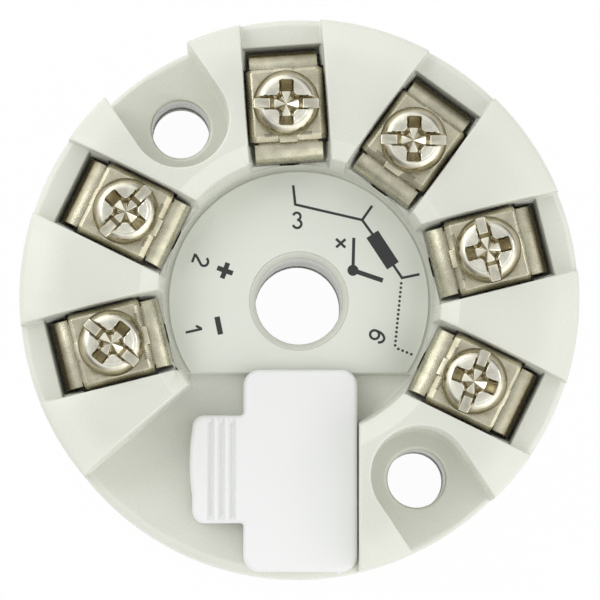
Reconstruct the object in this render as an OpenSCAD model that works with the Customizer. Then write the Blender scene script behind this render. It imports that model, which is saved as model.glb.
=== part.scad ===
// Head-mounted temperature transmitter: a round housing whose crown of ribs stands round a
// sunken connection label, six clamp terminals between the ribs, a cover that slides off the
// setup port, and the board that the housing holds. Millimetres, +Z up. The origin is on the
// housing's axis, at its bottom face, and +X points to the right of the label.

/* [Housing] */
// Outer diameter of the housing
housing_d = 43; // [42:0.5:46]
// Height of the ribs' flat tops above the bottom face
crown_z = 17.4; // [17:0.1:19]
// Width of the sloping band outside the flat tops
outer_facet_w = 3.35; // [2.5:0.05:3.8]
// Fall of the outer band, from the flat tops to the rim
outer_facet_drop = 0.9; // [0.4:0.1:1.3]
// Width of the sloping band inside the flat tops
inner_facet_w = 1.4; // [0.8:0.1:1.8]
// Fall of the inner band, from the flat tops to the well
inner_facet_drop = 0.7; // [0.3:0.1:1.2]
// Rounding of the rim's upper edge
rim_round = 0.5; // [0.2:0.1:0.8]
// Bevel of the bottom edge
foot_bevel = 0.4; // [0.2:0.1:0.6]
// Diameter of the well at its upper edge
well_d = 21.7; // [21.2:0.1:22]
// How far the well's wall leans in on its way down
well_lean = 0.45; // [0.3:0.05:0.6]
// Height of the well's floor, on which the label lies
seat_z = 11.15; // [10.9:0.05:11.5]
// How far the open deck under the sliding cover lies below the well's floor
deck_drop = 0.55; // [0.35:0.05:0.8]
// Rounding of the deck's outer edge
deck_round = 0.8; // [0.4:0.1:1]
// Thickness of the deck
deck_t = 1.3; // [1.1:0.1:1.5]
// Thickness of the label
label_t = 0.3; // [0.2:0.05:0.4]
// Distance of the label's straight edge from the axis
chord_y = 5.7; // [5.5:0.1:6]
// Direction of the slanting wall at the deck's left side, in degrees
slant_angle = 220.4; // [216:0.2:224]
// Distance by which the slanting wall misses the axis
slant_offset = 0.42; // [0.2:0.02:0.6]
// Thickness of the wall round the board
wall_t = 1.6; // [1.4:0.1:1.8]
// Width of the ledges under which the board and the base plate lie
ledge_w = 0.7; // [0.5:0.1:0.9]
// Thickness of the base plate
base_t = 1.6; // [1.2:0.1:2]

/* [Fixing] */
// Distance from the middle of a fixing hole to the housing's rim
fixing_edge = 5; // [4.8:0.1:5.2]
// Direction of the first fixing hole, in degrees
fixing_angle = 124; // [122:0.5:126]
// Diameter of the fixing holes
fixing_hole_d = 4.5; // [4.3:0.1:4.8]
// Width of the recess round each fixing hole
recess_w = 7.6; // [7.2:0.1:7.8]
// Height of the recess's floor
recess_z = 8; // [7.8:0.1:8.4]
// Rounding of the recess's outer edge
recess_round = 0.4; // [0.2:0.1:0.6]
// Thickness of the recess's floor
recess_floor_t = 1.4; // [1:0.1:1.5]
// Thickness of the recess's wall below the deck
recess_wall_t = 0.8; // [0.6:0.1:0.9]
// Bevel at the mouth of the fixing holes
fixing_bevel = 0.2; // [0.1:0.05:0.3]
// Diameter of the centre hole
centre_hole_d = 6.7; // [6.4:0.1:7]
// Bevel at the mouth of the centre hole
centre_bevel = 0.5; // [0.3:0.1:0.6]
// Wall of the tubes round the centre hole and the fixing holes
tube_t = 1.1; // [0.9:0.1:1.2]

/* [Terminals] */
// Angle between neighbouring terminals, in degrees
terminal_step = 40; // [38:0.5:41]
// Angle between a fixing hole and the terminals beside it, in degrees
terminal_offset = 30; // [29:0.5:31]
// Height of the wire shelf outside each terminal
shelf_z = 15.3; // [15:0.1:15.6]
// Rounding of the shelf's outer edge
shelf_round = 0.5; // [0.2:0.1:0.7]
// Width of a terminal's channel between the tops of the ribs
channel_w = 6.36; // [6.3:0.02:6.6]
// How far each side of a channel leans in, from the tops to the pocket's floor
channel_lean = 0.22; // [0.1:0.02:0.24]
// Depth of the pocket under a terminal, from the wire shelf down
pocket_depth = 2.9; // [2.6:0.1:3.1]
// How far a pocket's outer wall leans out on its way up
pocket_lean = 0.3; // [0.1:0.05:0.4]
// Length of a terminal strip along the radius
strip_l = 8.5; // [8.3:0.1:8.6]
// Gap between a strip and each side of its channel, at the ribs' tops
strip_play = 0.54; // [0.48:0.02:0.68]
// Thickness of a terminal strip
strip_t = 0.8; // [0.6:0.05:0.9]
// Outer radius of the strip's bends
strip_bend = 1.1; // [1:0.1:1.3]
// Height of the strip's top above the wire shelf
strip_rise = 0.2; // [0.1:0.05:0.3]
// Width of a solder leg
leg_w = 1.4; // [1.2:0.1:1.6]
// How far a solder leg stands out under the board
leg_end = 0.6; // [0.4:0.1:0.9]
// Length of a clamp plate along the radius
plate_l = 5.78; // [5.5:0.02:5.9]
// Gap between a clamp plate and each side of its channel, at the ribs' tops
plate_play = 0.21; // [0.2:0.01:0.26]
// Thickness of a clamp plate
plate_t = 0.9; // [0.7:0.05:1]
// Rounding along the sides of a clamp plate
plate_round = 0.55; // [0.3:0.05:0.6]
// Bevel at the ends of a clamp plate
plate_bevel = 0.35; // [0.2:0.05:0.45]
// Thickness of the flanges that a clamp plate turns down
flange_t = 0.6; // [0.5:0.02:0.64]
// Depth of the flanges below the clamp plate
flange_h = 0.7; // [0.5:0.05:0.9]
// Lift of a clamp plate with its screw turned out
clamp_lift = 1.5; // [1:0.1:1.6]
// Nominal diameter of the screw's thread
thread_d = 3; // [2.8:0.1:3.2]
// Diameter of the screw's head
head_d = 5.1; // [4.9:0.1:5.3]
// Height of the screw's head
head_h = 2; // [1.8:0.1:2.2]
// Height of the straight side of the screw's head
head_side = 0.85; // [0.7:0.05:1]
// Width of the slot in the screw's head
slot_w = 0.93; // [0.8:0.05:1]
// Depth of the slot
slot_h = 0.75; // [0.6:0.05:0.9]
// Width of the cross recess's arms
cross_w = 1; // [0.9:0.05:1.1]
// Span of the cross recess at the top of the head
cross_l = 3.4; // [3.2:0.1:3.6]
// Depth of the cross recess
cross_h = 1.35; // [1.2:0.05:1.5]

/* [Sliding cover] */
// How far right of the axis the middle of the cover's body stands
cover_mid_x = 0.1; // [0:0.05:0.2]
// Width of the cover's body
cover_w = 8.8; // [8.6:0.1:8.9]
// Distance from the cover's lower end to the housing's rim
cover_margin = 0.5; // [0.3:0.1:0.8]
// Thickness of the cover
cover_t = 2.8; // [2.5:0.1:3.2]
// Wall of the hollow under the cover
cover_wall = 1.1; // [0.9:0.1:1.2]
// Rounding of the body's corners
cover_round = 1.25; // [1:0.05:1.4]
// How far the label's straight edge lies under the cover
cover_lap = 0.3; // [0.2:0.05:0.4]
// Width of the grip tab
tab_w = 3.95; // [3.8:0.05:4.1]
// Distance from the body's upper edge to the tab's
tab_drop = 3.55; // [3.4:0.05:3.8]
// Distance from the body's lower edge to the tab's
tab_rise = 3.75; // [3.6:0.05:4]
// Rounding of the tab's corners
tab_round = 0.9; // [0.6:0.05:1.1]
// Width of a grip groove
groove_w = 0.44; // [0.35:0.02:0.5]
// Depth of a grip groove
groove_h = 0.22; // [0.1:0.02:0.3]
// Distance between grip grooves
groove_pitch = 0.84; // [0.76:0.02:0.9]
// Distance from the tab's left side to the first groove
groove_inset = 1.36; // [1.3:0.02:1.4]
// Travel of the cover
cover_travel = 2.8; // [2.5:0.1:2.8]
// Distance from the axis to the cover's two legs
hook_inset = 0.5; // [0.4:0.05:0.6]
// Length of the legs along the travel
hook_l = 3; // [2.6:0.1:3.1]
// Thickness of the legs
hook_t = 1.2; // [1:0.05:1.3]
// Width of the lip at the foot of a leg
hook_lip = 0.5; // [0.4:0.05:0.6]
// Height of the lip
hook_h = 0.7; // [0.5:0.05:0.8]
// Distance from the middle of a leg to the tab's end
hook_edge = 1.1; // [1:0.1:1.2]

/* [Board and port] */
// Thickness of the circuit board
board_t = 1; // [0.8:0.1:1.2]
// Gap between the board and the floors of the fixing recesses above it
board_gap = 0.2; // [0.1:0.05:0.4]
// Width of the port's socket
port_w = 2.3; // [2.1:0.1:2.4]
// How far the ends of the port's socket stand back from the tab's
port_inset = 0.35; // [0.2:0.05:0.6]
// Distance between the port and the rib beside the cover
port_gap = 0.3; // [0.2:0.05:0.4]
// Wall of the port's socket
port_wall = 0.5; // [0.4:0.05:0.6]
// Thickness of the port's floor
port_floor = 0.6; // [0.4:0.1:0.8]
// Depth of the port's mouth below the deck
port_sink = 0.2; // [0.1:0.05:0.4]
// Distance between contacts
contact_pitch = 1.25; // [1.1:0.05:1.5]
// Width of a contact
contact_w = 0.5; // [0.4:0.05:0.6]
// Width of the processor
processor_w = 5; // [4.5:0.1:5.5]
// Width of the converter chip
converter_w = 3.9; // [3.6:0.1:4.2]
// Length of the converter chip
converter_l = 4.9; // [4.5:0.1:5.3]
// Height of the moulded chips
chip_h = 1.2; // [1:0.1:1.5]
// Width of a chip's lead
lead_w = 0.4; // [0.3:0.05:0.5]
// Radius of the transformer's core
core_r = 3; // [2.6:0.1:3.3]
// Free height between the transformer's core and the base plate
core_room = 1; // [0.7:0.1:1.4]
// Thickness of the core's flanges
core_flange = 0.6; // [0.4:0.1:0.8]
// Width of the small ceramic parts
chip_part_w = 1.1; // [0.8:0.1:1.3]

/* [Hidden] */

$fn = 96;
overrun = 1; // how far a cutting shape runs past what it cuts
fit_gap = 0.1; // clearance round a piece that is put in place
slide_gap = 0.05; // clearance under a piece that slides
seat_gap = 0.02; // clearance under a screw's head and under a clamp plate
flange_room = 0.4; // free depth under a clamp plate's flanges

housing_r = housing_d / 2;
well_r = well_d / 2;
centre_r = centre_hole_d / 2;
fixing_r = housing_r - fixing_edge; // half the holes' distance, 33 mm as standard
hole_r = fixing_hole_d / 2;
ring_z = crown_z - inner_facet_drop; // the well's upper edge
sky_z = crown_z + overrun;
deck_z = seat_z - deck_drop;
cavity_z = deck_z - deck_t; // ceiling of the space over the board
board_z = recess_z - recess_floor_t - board_gap; // the board's upper face
core_h = board_z - board_t - base_t - core_room;
label_z = seat_z + label_t;
label_rim = centre_r + centre_bevel; // the tube's mouth, flush with the label
board_r = housing_r - wall_t - fit_gap;

// Terminals 1 to 6 run clockwise from the lower left; a fixing hole lies between 2 and 3
// and after 6
terminal_angles = [for (k = [1, 0]) fixing_angle + terminal_offset + k * terminal_step,
                   for (k = [0:3]) fixing_angle - terminal_offset - k * terminal_step];
// Directions in which the screws' slots happen to stand
slot_angles = [-39, 45, 0, -1, -75, 69];
pocket_z = shelf_z - pocket_depth;
strip_w = channel_w - 2 * strip_play;
plate_w = channel_w - 2 * plate_play;
pocket_in = well_wall_r(pocket_z); // each pocket opens into the well
strip_in = pocket_in + fit_gap;
screw_r = strip_in + strip_l / 2;
pocket_out = strip_in + strip_l + fit_gap;
strip_z = shelf_z + strip_rise; // the strip's top
plate_z = strip_z + seat_gap;
head_z = plate_z + plate_t + seat_gap;
waist_w = plate_w - 2 * flange_t - fit_gap; // the strip's width between the flanges
shank_r = thread_d / 2 - slide_gap;
// Turned right out, the shank still ends inside the strip's threaded collar
shank_end = strip_z - 2 * strip_t - clamp_lift + fit_gap;

wall_x = cover_mid_x + cover_w / 2 + fit_gap; // the rib's wall beside the cover
cover_left = cover_mid_x - cover_w / 2; // the body's left side
cover_z = deck_z + slide_gap;
cover_top = deck_z + cover_t;
cover_y = -chord_y + cover_lap; // the body's upper edge
cover_l = housing_r - cover_margin + cover_y;
tab_l = cover_l - tab_drop - tab_rise;
hook_x = -hook_inset - hook_l; // the legs' left ends
hook_y = cover_y - tab_drop - tab_l / 2; // midway between the legs
hook_pitch = tab_l - 2 * hook_edge;
port_x = wall_x - port_gap - port_w; // the socket's left side
port_y = hook_y;
port_l = tab_l - 2 * port_inset;
contact_count = floor((port_l - 2 * port_wall - contact_w) / contact_pitch) + 1;

// How far out the board's parts lie, as shares of the board's radius
outer_r_share = 0.77;
capacitor_r_share = 0.44;
resistor_r_share = 0.34;

housing_tint = [0.88, 0.89, 0.85];
label_tint = [0.83, 0.85, 0.82];
cover_tint = [0.97, 0.97, 0.97];
nickel_tint = [0.72, 0.69, 0.6];
board_tint = [0.1, 0.35, 0.2];
chip_tint = [0.12, 0.12, 0.13];
gold_tint = [0.83, 0.68, 0.3];
ceramic_tint = [0.7, 0.6, 0.45];
ferrite_tint = [0.25, 0.24, 0.23];

// Points of an arc about a centre, from one direction to another
function arc(centre, r, from, to, steps = 6) =
    [for (k = [0:steps]) let (a = from + (to - from) * k / steps)
        centre + r * [cos(a), sin(a)]];

// Radius of the well's wall at a height
function well_wall_r(z) = well_r - well_lean * (ring_z - z) / (ring_z - seat_z);

// Half the width of a terminal's channel at a height
function channel_half(z) =
    channel_w / 2 - channel_lean * (crown_z - z) / (crown_z - pocket_z);

// A point of the slanting wall, at a distance along it
function slant_point(t) =
    t * [cos(slant_angle), sin(slant_angle)]
    + slant_offset * [sin(slant_angle), -cos(slant_angle)];

module at_terminal(i) {
    rotate(terminal_angles[i - 1]) children();
}

module at_fixings() {
    for (side = [0, 1])
        rotate(fixing_angle + 180 * side)
            translate([fixing_r, 0]) children();
}

// A shape drawn in the radius and height, given a width across the radius
module across(w) {
    translate([0, w / 2]) rotate([90, 0]) linear_extrude(w) children();
}

// A shape drawn across the radius and in height, run out along the radius
module along(from, to) {
    translate([from, 0]) rotate([90, 0, 90]) linear_extrude(to - from) children();
}

// Everything above a floor whose outer edge is rounded over
module above(floor_z, edge_r) {
    rotate_extrude() polygon(concat(
        [[0, sky_z], [0, floor_z]],
        arc([housing_r - edge_r, floor_z - edge_r], edge_r, 90, 0),
        [[housing_r + overrun, floor_z - edge_r], [housing_r + overrun, sky_z]]));
}

module housing_outside() {
    facet_angle = atan(outer_facet_drop / outer_facet_w);
    rim_z = crown_z - outer_facet_drop * (outer_facet_w - rim_round) / outer_facet_w;
    rotate_extrude() polygon(concat(
        [[0, 0], [housing_r - foot_bevel, 0], [housing_r, foot_bevel]],
        arc([housing_r - rim_round, rim_z - rim_round / cos(facet_angle)],
            rim_round, 0, 90 - facet_angle),
        [[housing_r - outer_facet_w, crown_z],
         [well_r + inner_facet_w, crown_z],
         [well_r, ring_z],
         [well_r - well_lean, seat_z],
         [0, seat_z]]));
}

// The channel between two ribs, with the pocket that holds a terminal
module terminal_void() {
    section = [[-channel_half(pocket_z), pocket_z], [channel_half(pocket_z), pocket_z],
               [channel_half(sky_z), sky_z], [-channel_half(sky_z), sky_z]];
    intersection() {
        along(pocket_in, housing_r + overrun) polygon(section);
        union() {
            above(shelf_z, shelf_round);
            across(channel_w + overrun) polygon([
                [pocket_in, pocket_z], [pocket_out, pocket_z],
                [pocket_out + pocket_lean, shelf_z], [pocket_out + pocket_lean, sky_z],
                [pocket_in, sky_z]]);
        }
    }
    // Room under the end of the screw
    translate([screw_r, 0, shank_end - fit_gap])
        cylinder(r = thread_d / 2 + fit_gap, h = sky_z - shank_end);
    // The way of the solder leg down to the board
    translate([strip_in - fit_gap, -leg_w / 2 - fit_gap, cavity_z - overrun])
        cube([strip_t + 2 * fit_gap, leg_w + 2 * fit_gap, pocket_z - cavity_z + 2 * overrun]);
}

// The recess round a fixing hole, open to the outside
module recess_void() {
    intersection() {
        translate([0, 0, recess_z - overrun]) linear_extrude(sky_z) {
            circle(d = recess_w);
            translate([0, -recess_w / 2]) square(recess_w);
        }
        translate([-fixing_r, 0]) above(recess_z, recess_round);
    }
}

// The deck under the sliding cover, open to the outside and to the well
module deck_void() {
    // Where the slanting wall meets the line of the label's straight edge
    chord_t = (slant_offset * cos(slant_angle) - chord_y) / sin(slant_angle);
    intersection() {
        translate([0, 0, deck_z - deck_round]) linear_extrude(sky_z) polygon([
            slant_point(chord_t), slant_point(2 * housing_r),
            [wall_x, -2 * housing_r], [wall_x, -chord_y]]);
        above(deck_z, deck_round);
    }
    translate([0, 0, deck_z]) linear_extrude(seat_z - deck_z + fit_gap) intersection() {
        circle(well_r - well_lean);
        translate([-well_r, -2 * well_r - chord_y]) square(2 * well_r);
    }
}

// Slots in the deck for the cover's legs, and the port's opening
module deck_openings() {
    translate([0, 0, cavity_z - overrun]) linear_extrude(deck_t + 2 * overrun) {
        for (side = [-1, 1])
            translate([hook_x - cover_travel - fit_gap,
                       hook_y + side * hook_pitch / 2 - hook_t / 2 - fit_gap])
                square([hook_l + cover_travel + 2 * fit_gap, hook_t + 2 * fit_gap]);
    }
    translate([port_x - fit_gap, port_y - port_l / 2 - fit_gap, board_z])
        cube([port_w + 2 * fit_gap, port_l + 2 * fit_gap, deck_z - board_z + overrun]);
}

// The space that holds the board, with the two ledges
module cavity() {
    plate_r = housing_r - wall_t + ledge_w;
    translate([0, 0, -overrun]) cylinder(r = plate_r, h = base_t + overrun);
    cylinder(r = housing_r - wall_t, h = board_z);
    cylinder(r = housing_r - wall_t - ledge_w, h = cavity_z);
}

// The walls of the recesses where they stand in the space over the board
module recess_walls() {
    intersection() {
        at_fixings() translate([0, 0, recess_z - recess_floor_t])
            linear_extrude(cavity_z - recess_z + recess_floor_t) {
                circle(d = recess_w + 2 * recess_wall_t);
                translate([0, -recess_w / 2 - recess_wall_t])
                    square([recess_w, recess_w + 2 * recess_wall_t]);
            }
        cylinder(r = housing_r - wall_t, h = cavity_z);
    }
}

module housing() {
    color(housing_tint) difference() {
        union() {
            difference() {
                union() {
                    housing_outside();
                    cylinder(r = label_rim, h = label_z);
                }
                cavity();
            }
            cylinder(r = centre_r + tube_t, h = seat_z);
            at_fixings() {
                translate([0, 0, recess_z - recess_floor_t])
                    cylinder(d = recess_w + 2 * recess_wall_t, h = recess_floor_t);
                translate([0, 0, base_t + fit_gap])
                    cylinder(r = hole_r + tube_t, h = recess_z - base_t - fit_gap);
            }
            recess_walls();
        }
        for (i = [1:6]) at_terminal(i) terminal_void();
        at_fixings() {
            recess_void();
            cylinder(r = hole_r, h = sky_z);
            translate([0, 0, recess_z - fixing_bevel])
                cylinder(r1 = hole_r, r2 = hole_r + fixing_bevel, h = fixing_bevel);
        }
        deck_void();
        deck_openings();
        translate([0, 0, -overrun]) cylinder(r = centre_r, h = sky_z);
        translate([0, 0, label_z - centre_bevel])
            cylinder(r1 = centre_r, r2 = label_rim, h = centre_bevel);
    }
}

module base_plate() {
    color(housing_tint) difference() {
        cylinder(r = housing_r - wall_t + ledge_w - fit_gap, h = base_t);
        translate([0, 0, -overrun]) {
            cylinder(r = centre_r + tube_t + fit_gap, h = base_t + 2 * overrun);
            at_fixings() cylinder(r = hole_r, h = base_t + 2 * overrun);
        }
    }
}

module connection_label() {
    color(label_tint) translate([0, 0, seat_z]) linear_extrude(label_t) difference() {
        intersection() {
            circle(well_r - well_lean - fit_gap);
            translate([-well_r, -chord_y]) square(2 * well_r);
        }
        circle(label_rim + fit_gap);
    }
}

// Outline of the cover: a body with rounded corners and a tab on its left side
module cover_outline() {
    translate([cover_left, cover_y - cover_l])
        rounded_square([cover_w, cover_l], cover_round);
    translate([cover_left - tab_w, cover_y - tab_drop - tab_l])
        rounded_square([tab_w + cover_w / 2, tab_l], tab_round);
}

module rounded_square(size, r) {
    for (x = [r, size.x - r])
        for (y = [r, size.y - r])
            translate([x, y]) circle(r);
    translate([r, 0]) square([size.x - 2 * r, size.y]);
    translate([0, r]) square([size.x, size.y - 2 * r]);
}

module slide_cover() {
    roof_z = cover_top - cover_wall;
    groove_r = (groove_w * groove_w / 4 + groove_h * groove_h) / (2 * groove_h);
    color(cover_tint) difference() {
        union() {
            difference() {
                translate([0, 0, cover_z]) linear_extrude(cover_top - cover_z) cover_outline();
                translate([cover_left + cover_wall, cover_y - cover_l + cover_wall,
                           cover_z - overrun])
                    cube([cover_w - 2 * cover_wall, cover_l - cover_lap - 2 * cover_wall,
                          roof_z - cover_z + overrun]);
            }
            cover_legs(roof_z);
        }
        // Clearance over the label's edge
        translate([-well_r, -chord_y - fit_gap, cover_z - overrun])
            cube([2 * well_r, 2 * cover_lap + fit_gap, label_z + fit_gap - cover_z + overrun]);
        for (k = [0:2])
            translate([cover_left - tab_w + groove_inset + k * groove_pitch,
                       cover_y - tab_drop - tab_l + groove_w, cover_top + groove_r - groove_h])
                rotate([-90, 0]) cylinder(r = groove_r, h = tab_l - 2 * groove_w, $fn = 24);
    }
}

// Legs through the deck's slots, each with a lip that holds the cover down
module cover_legs(roof_z) {
    lip_z = cavity_z - slide_gap;
    for (side = [-1, 1])
        translate([hook_x, hook_y + side * hook_pitch / 2]) {
            translate([0, -hook_t / 2, lip_z - hook_h])
                cube([hook_l, hook_t, roof_z - lip_z + hook_h]);
            translate([0, -hook_t / 2 + min(side, 0) * hook_lip, lip_z - hook_h])
                cube([hook_l, hook_t + hook_lip, hook_h]);
        }
}

// Side view of a strip bent down at both ends
module strip_side() {
    difference() {
        arch(strip_l, strip_z - pocket_z, strip_bend);
        translate([strip_t, 0])
            arch(strip_l - 2 * strip_t, strip_z - pocket_z - strip_t, strip_bend - strip_t);
    }
}

// An upright block with round upper corners
module arch(l, h, r) {
    square([l, h - r]);
    translate([r, 0]) square([l - 2 * r, h]);
    for (x = [r, l - r]) translate([x, h - r]) circle(r);
}

module terminal(i) {
    color(nickel_tint) at_terminal(i) difference() {
        union() {
            across(strip_w) translate([strip_in, pocket_z]) strip_side();
            translate([screw_r, 0, strip_z - 2 * strip_t])
                cylinder(r = waist_w / 2 - fit_gap, h = strip_t + fit_gap);
            translate([strip_in, -leg_w / 2, board_z - board_t - leg_end])
                cube([strip_t, leg_w, pocket_z - board_z + board_t + leg_end + fit_gap]);
        }
        for (side = [-1, 1])
            translate([screw_r - plate_l / 2 - fit_gap, side * strip_w / 2 - (strip_w - waist_w) / 2,
                       plate_z - flange_h - flange_room])
                cube([plate_l + 2 * fit_gap, strip_w - waist_w,
                      flange_h + flange_room + overrun]);
        translate([screw_r, 0, pocket_z - overrun])
            cylinder(d = thread_d, h = strip_z - pocket_z + 2 * overrun);
    }
}

// End view of a clamp plate, with its rounded shoulders and the flanges turned down
module plate_end() {
    difference() {
        translate([-plate_w / 2, -flange_h])
            arch(plate_w, plate_t + flange_h, plate_round);
        translate([-plate_w / 2 + flange_t, -flange_h - overrun])
            square([plate_w - 2 * flange_t, flange_h + overrun]);
    }
}

module clamp_plate(i) {
    half = plate_l / 2;
    color(nickel_tint) at_terminal(i) translate([screw_r, 0, plate_z]) difference() {
        intersection() {
            along(-half, half) plate_end();
            across(plate_w + overrun) polygon([
                [-half, -flange_h], [half, -flange_h],
                [half, plate_t - plate_bevel], [half - plate_bevel, plate_t],
                [-half + plate_bevel, plate_t], [-half, plate_t - plate_bevel]]);
        }
        translate([0, 0, -overrun]) cylinder(r = thread_d / 2 + fit_gap, h = plate_t + 2 * overrun);
    }
}

// One arm of the cross recess, narrowing on its way down
module cross_arm() {
    translate([0, cross_w / 2]) rotate([90, 0]) linear_extrude(cross_w) polygon([
        [-cross_l / 2, overrun], [-cross_l / 2, 0],
        [-cross_l / 2 + cross_h / 2, -cross_h], [cross_l / 2 - cross_h / 2, -cross_h],
        [cross_l / 2, 0], [cross_l / 2, overrun]]);
}

module screw(i) {
    // The dome springs from the head's straight side
    rise = head_h - head_side;
    dome_r = (head_d * head_d / 4 + rise * rise) / (2 * rise);
    color(nickel_tint) at_terminal(i) translate([screw_r, 0, head_z]) {
        difference() {
            intersection() {
                cylinder(d = head_d, h = head_h);
                translate([0, 0, head_h - dome_r]) sphere(dome_r);
            }
            rotate(slot_angles[i - 1] - terminal_angles[i - 1]) {
                translate([-head_d, -slot_w / 2, head_h - slot_h])
                    cube([2 * head_d, slot_w, slot_h + overrun]);
                translate([0, 0, head_h]) for (a = [0, 90]) rotate(a) cross_arm();
            }
        }
        translate([0, 0, shank_end - head_z]) cylinder(r = shank_r, h = head_z - shank_end);
    }
}

module circuit_board() {
    color(board_tint) difference() {
        translate([0, 0, board_z - board_t])
            cylinder(r = board_r, h = board_t);
        translate([0, 0, board_z - board_t - overrun]) linear_extrude(board_t + 2 * overrun) {
            circle(centre_r + tube_t + 2 * fit_gap);
            at_fixings() circle(hole_r + tube_t + 2 * fit_gap);
            for (i = [1:6]) at_terminal(i)
                translate([strip_in - fit_gap, -leg_w / 2 - fit_gap])
                    square([strip_t + 2 * fit_gap, leg_w + 2 * fit_gap]);
        }
    }
}

module port_socket() {
    mouth_z = deck_z - port_sink;
    color(chip_tint) difference() {
        translate([port_x, port_y - port_l / 2, board_z])
            cube([port_w, port_l, mouth_z - board_z]);
        translate([port_x + port_wall, port_y - port_l / 2 + port_wall, board_z + port_floor])
            cube([port_w - 2 * port_wall, port_l - 2 * port_wall, mouth_z - board_z]);
    }
}

module port_contacts() {
    span = (contact_count - 1) * contact_pitch;
    color(gold_tint) for (k = [0:contact_count - 1])
        translate([port_x + port_w / 2 - contact_w / 4,
                   port_y - span / 2 + k * contact_pitch - contact_w / 2,
                   board_z + port_floor])
            cube([contact_w / 2, contact_w, deck_z - port_sink - board_z - 2 * port_floor]);
}

// A place on the board's lower face, with +Z pointing away from the board
module under_board(angle, r_share) {
    translate([0, 0, board_z - board_t]) mirror([0, 0, 1])
        rotate(angle) translate([r_share * board_r, 0]) children();
}

// A moulded chip on gull-wing leads along its two long sides, and its two others if asked
module chip(size, lead_count, sides) {
    standoff = lead_w / 2;
    translate([-size.x / 2, -size.y / 2, standoff]) cube(size);
    for (side = sides) rotate(90 * side) {
        reach = (side % 2 == 0 ? size.x : size.y) / 2;
        for (k = [0:lead_count - 1])
            translate([reach, (k - (lead_count - 1) / 2) * 2 * lead_w - lead_w / 2]) {
                translate([-lead_w, 0, size.z / 2]) cube([2 * lead_w, lead_w, lead_w / 2]);
                translate([lead_w / 2, 0]) cube([lead_w / 2, lead_w, size.z / 2 + lead_w / 2]);
                translate([lead_w / 2, 0]) cube([lead_w * 3 / 2, lead_w, lead_w / 2]);
            }
    }
}

module processor() {
    color(chip_tint) under_board(34, outer_r_share)
        chip([processor_w, processor_w, chip_h], 6, [0:3]);
}

module converter() {
    color(chip_tint) under_board(174, outer_r_share)
        chip([converter_w, converter_l, chip_h], 5, [0, 2]);
}

// A drum core with its windings between two flanges
module transformer() {
    color(ferrite_tint) under_board(84, outer_r_share) rotate_extrude() polygon([
        [0, 0], [core_r, 0], [core_r, core_flange],
        [core_r - core_flange / 2, core_flange],
        [core_r - core_flange / 2, core_h - core_flange],
        [core_r, core_h - core_flange], [core_r, core_h], [0, core_h]]);
}

module regulator() {
    color(chip_tint) under_board(244, outer_r_share) {
        chip([converter_w, converter_l, chip_h], 3, [0]);
        translate([-converter_w, -converter_l / 4]) cube([converter_w, converter_l / 2, lead_w]);
    }
}

module capacitors() {
    color(ceramic_tint) {
        for (angle = [344, 274]) under_board(angle, outer_r_share)
            translate([-converter_w / 2, -converter_l / 2, 0])
                cube([converter_w * 3 / 4, converter_l * 3 / 4, chip_h * 4 / 3]);
        for (k = [0:5]) under_board(34 + 60 * k, capacitor_r_share)
            translate([-chip_part_w / 2, -chip_part_w, 0])
                cube([chip_part_w, 2 * chip_part_w, chip_part_w]);
    }
}

module resistors() {
    color(chip_tint) for (k = [0:8]) under_board(20 + 40 * k, resistor_r_share)
        translate([-chip_part_w / 2, -chip_part_w * 3 / 4, 0])
            cube([chip_part_w, chip_part_w * 3 / 2, chip_part_w / 2]);
}

housing();
base_plate();
connection_label();
slide_cover();
for (i = [1:6]) {
    terminal(i);
    clamp_plate(i);
    screw(i);
}
circuit_board();
port_socket();
port_contacts();
processor();
converter();
transformer();
regulator();
capacitors();
resistors();
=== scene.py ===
# %% [markdown]
# # A head-mounted temperature transmitter
# A light grey housing, 43 mm across, carries six screw clamps between sloping ribs, a printed
# label round a centre hole, and a white cover that slides off a setup port. The model of its
# construction comes in as a fixed frame: it says where every piece is and what moves. This
# notebook dresses that frame with softer edges, finer shapes and real finishes.

# %% The frame
import math
import bmesh
import bpy
import numpy as np
from mathutils import Matrix, Vector


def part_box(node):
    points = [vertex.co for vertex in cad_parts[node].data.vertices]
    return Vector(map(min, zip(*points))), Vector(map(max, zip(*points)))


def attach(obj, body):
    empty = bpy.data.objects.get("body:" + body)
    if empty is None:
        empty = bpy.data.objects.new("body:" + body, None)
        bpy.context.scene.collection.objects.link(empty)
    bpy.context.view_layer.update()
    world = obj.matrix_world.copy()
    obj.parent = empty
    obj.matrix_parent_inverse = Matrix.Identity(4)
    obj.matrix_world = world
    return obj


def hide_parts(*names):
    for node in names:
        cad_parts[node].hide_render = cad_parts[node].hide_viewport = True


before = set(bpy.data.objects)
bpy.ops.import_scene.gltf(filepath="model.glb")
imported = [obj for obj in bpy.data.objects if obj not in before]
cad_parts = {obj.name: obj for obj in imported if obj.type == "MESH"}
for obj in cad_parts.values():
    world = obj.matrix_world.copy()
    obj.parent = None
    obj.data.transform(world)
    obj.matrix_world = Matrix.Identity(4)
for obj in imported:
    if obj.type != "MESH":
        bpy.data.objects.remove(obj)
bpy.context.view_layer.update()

# %% [markdown]
# Blender works in metres here, but such a part is drawn in millimetres. All shapes below are
# worked out in millimetres and scaled once, when they become a mesh.

# %% Sizes that the pieces share
MM = 0.001
TERMINAL_ANGLES = [194, 154, 94, 54, 14, -26]  # degrees from +X, terminals 1 to 6
SLOT_ANGLES = [-39, 45, 0, -1, -75, 69]  # how far each screw's slot is turned from +X
FIXING_R, FIXING_ANGLES = 16.5, (124, 304)  # where the two M4 fixing holes are


def box_mm(node):
    """Lowest and highest corner of a node of the frame, in millimetres."""
    low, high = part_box(node)
    return np.array(low) / MM, np.array(high) / MM


label_z = box_mm("connection_label")[1][2]
print("label's upper face at %.2f mm" % label_z)

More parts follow.
